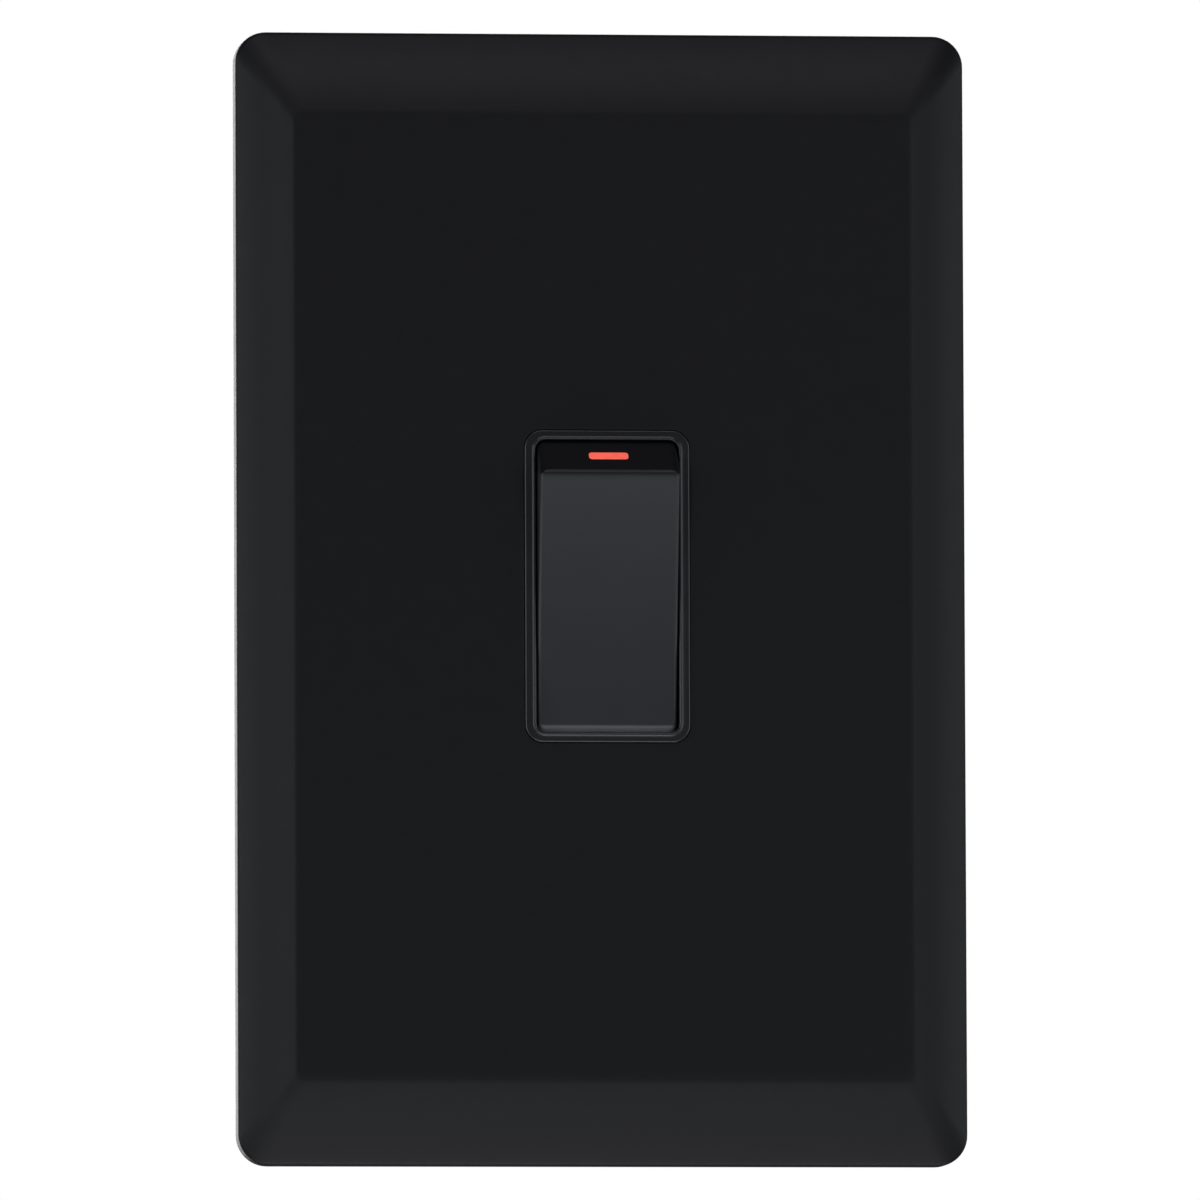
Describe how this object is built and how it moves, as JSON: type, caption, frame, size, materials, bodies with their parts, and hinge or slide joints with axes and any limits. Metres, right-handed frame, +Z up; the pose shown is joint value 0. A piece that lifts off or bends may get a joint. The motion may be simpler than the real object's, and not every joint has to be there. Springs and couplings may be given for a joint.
{
  "type": "rocker wall switch",
  "caption": "Tall rectangular wall switch plate with a softly bevelled border, a narrow central rocker with a red indicator bar, a rear contact housing and screw terminals.",
  "frame": {"origin": "centre of the rear mounting plane, where the frame's perimeter rim rests on the wall, level with the rocker's pivot", "axes": "+Z up along the plate's length, +Y into the wall, +X to the right as seen from the front; the front faces -Y"},
  "size_m": [0.0951, 0.0367, 0.147],
  "materials": {
    "plate_black": "matt black, very finely textured",
    "frame_black": "matt black moulding",
    "bezel_black": "satin black",
    "base_black": "thermoset, dull",
    "rocker_black": "satin black",
    "lens_red": "translucent red, smooth",
    "plunger_nylon": "natural nylon",
    "spring_steel": "drawn wire",
    "contact_copper": "stamped copper",
    "contact_silver": "silver alloy, dull",
    "strap_brass": "stamped brass",
    "terminal_brass": "machined brass",
    "screw_steel": "zinc plated",
    "board_green": "circuit board",
    "led_red": "tinted epoxy",
    "resistor_tan": "lacquered",
    "diode_black": "moulded epoxy",
    "lead_red": "insulated lead"
  },
  "bodies": {
    "switch_module": {"carrier_frame": "frame_black", "earth_holder_left": "frame_black", "earth_holder_right": "frame_black", "fixing_screws": "screw_steel", "module_screws": "screw_steel", "rocker_bezel": "bezel_black", "switch_base": "base_black", "load_strap_line": "strap_brass", "load_strap_neutral": "strap_brass", "fixed_tip_line": "contact_silver", "fixed_tip_neutral": "contact_silver", "supply_strap_line": "strap_brass", "supply_strap_neutral": "strap_brass", "load_terminal_line": "terminal_brass", "load_terminal_neutral": "terminal_brass", "supply_terminal_line": "terminal_brass", "supply_terminal_neutral": "terminal_brass", "earth_terminal_left": "terminal_brass", "earth_terminal_right": "terminal_brass", "indicator_board": "board_green", "indicator_led": "led_red", "indicator_resistor": "resistor_tan", "indicator_diode": "diode_black", "indicator_leads": "lead_red"},
    "front_plate": {"front_plate": "plate_black"},
    "rocker": {"rocker": "rocker_black", "indicator_lens": "lens_red", "plunger_spring_line": "spring_steel", "plunger_spring_neutral": "spring_steel"},
    "plunger_line": {"plunger_line": "plunger_nylon"},
    "plunger_neutral": {"plunger_neutral": "plunger_nylon"},
    "contact_arm_line": {"contact_arm_line": "contact_copper", "moving_tip_line": "contact_silver"},
    "contact_arm_neutral": {"contact_arm_neutral": "contact_copper", "moving_tip_neutral": "contact_silver"},
    "load_screw_line": {"load_screw_line": "screw_steel"},
    "load_screw_neutral": {"load_screw_neutral": "screw_steel"},
    "supply_screw_line": {"supply_screw_line": "screw_steel"},
    "supply_screw_neutral": {"supply_screw_neutral": "screw_steel"},
    "earth_screw_left": {"earth_screw_left": "screw_steel"},
    "earth_screw_right": {"earth_screw_right": "screw_steel"}
  },
  "joints": [
    {"name": "rocker_hinge", "type": "hinge", "parent": "switch_module", "child": "rocker", "pos_m": [0, 0.0016, 0], "axis": [1, 0, 0], "range_deg": [-17, 0]},
    {"name": "contact_arm_line_hinge", "type": "hinge", "parent": "switch_module", "child": "contact_arm_line", "pos_m": [-0.0044, 0.017, 0], "axis": [1, 0, 0], "range_deg": [0, 15]},
    {"name": "contact_arm_neutral_hinge", "type": "hinge", "parent": "switch_module", "child": "contact_arm_neutral", "pos_m": [0.0044, 0.017, 0], "axis": [1, 0, 0], "range_deg": [0, 15]},
    {"name": "plunger_line_slide", "type": "slide", "parent": "rocker", "child": "plunger_line", "axis": [0, -0.989, -0.1478], "range_m": [0, 0.001], "stiffness_N_per_m": 600, "springref_m": -0.002, "deforming": ["plunger_spring_line"]},
    {"name": "plunger_neutral_slide", "type": "slide", "parent": "rocker", "child": "plunger_neutral", "axis": [0, -0.989, -0.1478], "range_m": [0, 0.001], "stiffness_N_per_m": 600, "springref_m": -0.002, "deforming": ["plunger_spring_neutral"]},
    {"name": "front_plate_pull", "type": "slide", "parent": "switch_module", "child": "front_plate", "axis": [0, -1, 0], "range_m": [0, 0.02]},
    {"name": "load_screw_line_turn", "type": "slide", "parent": "switch_module", "child": "load_screw_line", "axis": [0, -1, 0], "range_m": [0, 0.004]},
    {"name": "load_screw_neutral_turn", "type": "slide", "parent": "switch_module", "child": "load_screw_neutral", "axis": [0, -1, 0], "range_m": [0, 0.004]},
    {"name": "supply_screw_line_turn", "type": "slide", "parent": "switch_module", "child": "supply_screw_line", "axis": [0, -1, 0], "range_m": [0, 0.004]},
    {"name": "supply_screw_neutral_turn", "type": "slide", "parent": "switch_module", "child": "supply_screw_neutral", "axis": [0, -1, 0], "range_m": [0, 0.004]},
    {"name": "earth_screw_left_turn", "type": "slide", "parent": "switch_module", "child": "earth_screw_left", "axis": [0, -1, 0], "range_m": [0, 0.0025]},
    {"name": "earth_screw_right_turn", "type": "slide", "parent": "switch_module", "child": "earth_screw_right", "axis": [0, -1, 0], "range_m": [0, 0.0025]}
  ],
  "couplings": [
    {"joint": "contact_arm_line_hinge", "follows": "rocker_hinge", "ratio": -0.88235},
    {"joint": "contact_arm_neutral_hinge", "follows": "rocker_hinge", "ratio": -0.88235}
  ]
}
